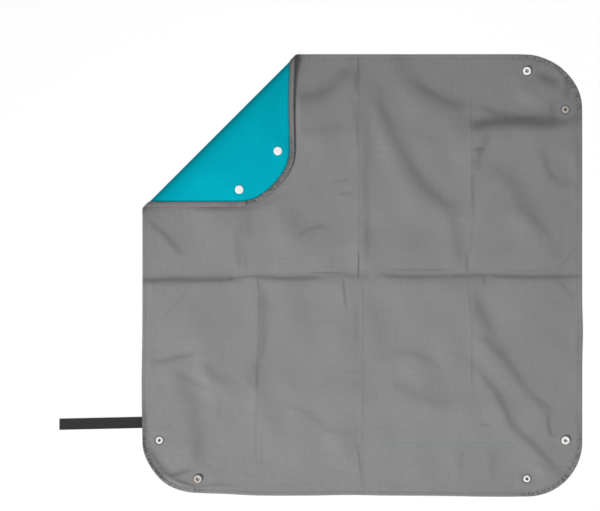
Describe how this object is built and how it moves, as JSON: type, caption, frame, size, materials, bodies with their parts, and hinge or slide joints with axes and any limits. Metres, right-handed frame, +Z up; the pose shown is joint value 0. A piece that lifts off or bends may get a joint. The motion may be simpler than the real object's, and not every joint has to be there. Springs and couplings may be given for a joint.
{
  "type": "repotting mat",
  "caption": "Square mat of coated fabric with rounded corners, a press stud pair at each corner, a patch pocket on its back and an elastic loop; one corner is folded over.",
  "frame": {"origin": "on the floor, under the middle of the box round the mat and its strap", "axes": "+X from the strap to the mat's right edge, +Y from the pocket's edge to the edge with the folded corner, +Z up from the floor, out of the work face"},
  "size_m": [0.951, 0.8046, 0.0171],
  "materials": {
    "grey_fabric": "matte",
    "teal_fabric": "satin",
    "black_elastic": "matte",
    "nickel": "polished",
    "spring_wire": "satin",
    "white_cap": "gloss"
  },
  "bodies": {
    "lower_half": {"mat_lower": "grey_fabric", "pocket_patch": "teal_fabric", "strap_tab": "black_elastic", "stud_lower_right": "nickel", "cap_stud_lower_right": "white_cap", "socket_lower_right": "nickel", "cap_socket_lower_right": "white_cap", "spring_lower_right": "spring_wire", "stud_lower_left": "nickel", "cap_stud_lower_left": "white_cap", "socket_lower_left": "nickel", "cap_socket_lower_left": "white_cap", "spring_lower_left": "spring_wire"},
    "centre_band": {"mat_centre_band": "grey_fabric"},
    "upper_half": {"mat_upper": "grey_fabric", "stud_upper_right": "nickel", "cap_stud_upper_right": "white_cap", "socket_upper_right": "nickel", "cap_socket_upper_right": "white_cap", "spring_upper_right": "spring_wire"},
    "corner_fold_band": {"corner_band": "teal_fabric"},
    "corner": {"corner_flap": "teal_fabric", "stud_upper_left": "nickel", "cap_stud_upper_left": "white_cap", "socket_upper_left": "nickel", "cap_socket_upper_left": "white_cap", "spring_upper_left": "spring_wire"},
    "strap": {"strap_loop": "black_elastic"}
  },
  "joints": [
    {"name": "half_fold", "type": "hinge", "parent": "lower_half", "child": "centre_band", "pos_m": [0.0755, -0.00865, 0.0024], "axis": [1, 0, 0], "range_deg": [0, 90]},
    {"name": "half_fold_over", "type": "hinge", "parent": "centre_band", "child": "upper_half", "pos_m": [0.0755, 0.00865, 0.0024], "axis": [1, 0, 0], "range_deg": [0, 90]},
    {"name": "corner_fold", "type": "hinge", "parent": "upper_half", "child": "corner_fold_band", "pos_m": [-0.1815, 0.2585, 0.0024], "axis": [-0.7071, -0.7071, 0], "range_deg": [0, 92.23]},
    {"name": "corner_fold_over", "type": "hinge", "parent": "corner_fold_band", "child": "corner", "pos_m": [-0.18116, 0.25816, 0.01469], "axis": [-0.7071, -0.7071, 0], "range_deg": [0, 92.23]},
    {"name": "strap_swing", "type": "hinge", "parent": "lower_half", "child": "strap", "pos_m": [-0.32465, -0.268, 0.0024], "axis": [0, 1, 0], "range_deg": [0, 180]}
  ],
  "couplings": [
    {"joint": "half_fold_over", "follows": "half_fold", "ratio": 1},
    {"joint": "corner_fold_over", "follows": "corner_fold", "ratio": 1}
  ]
}
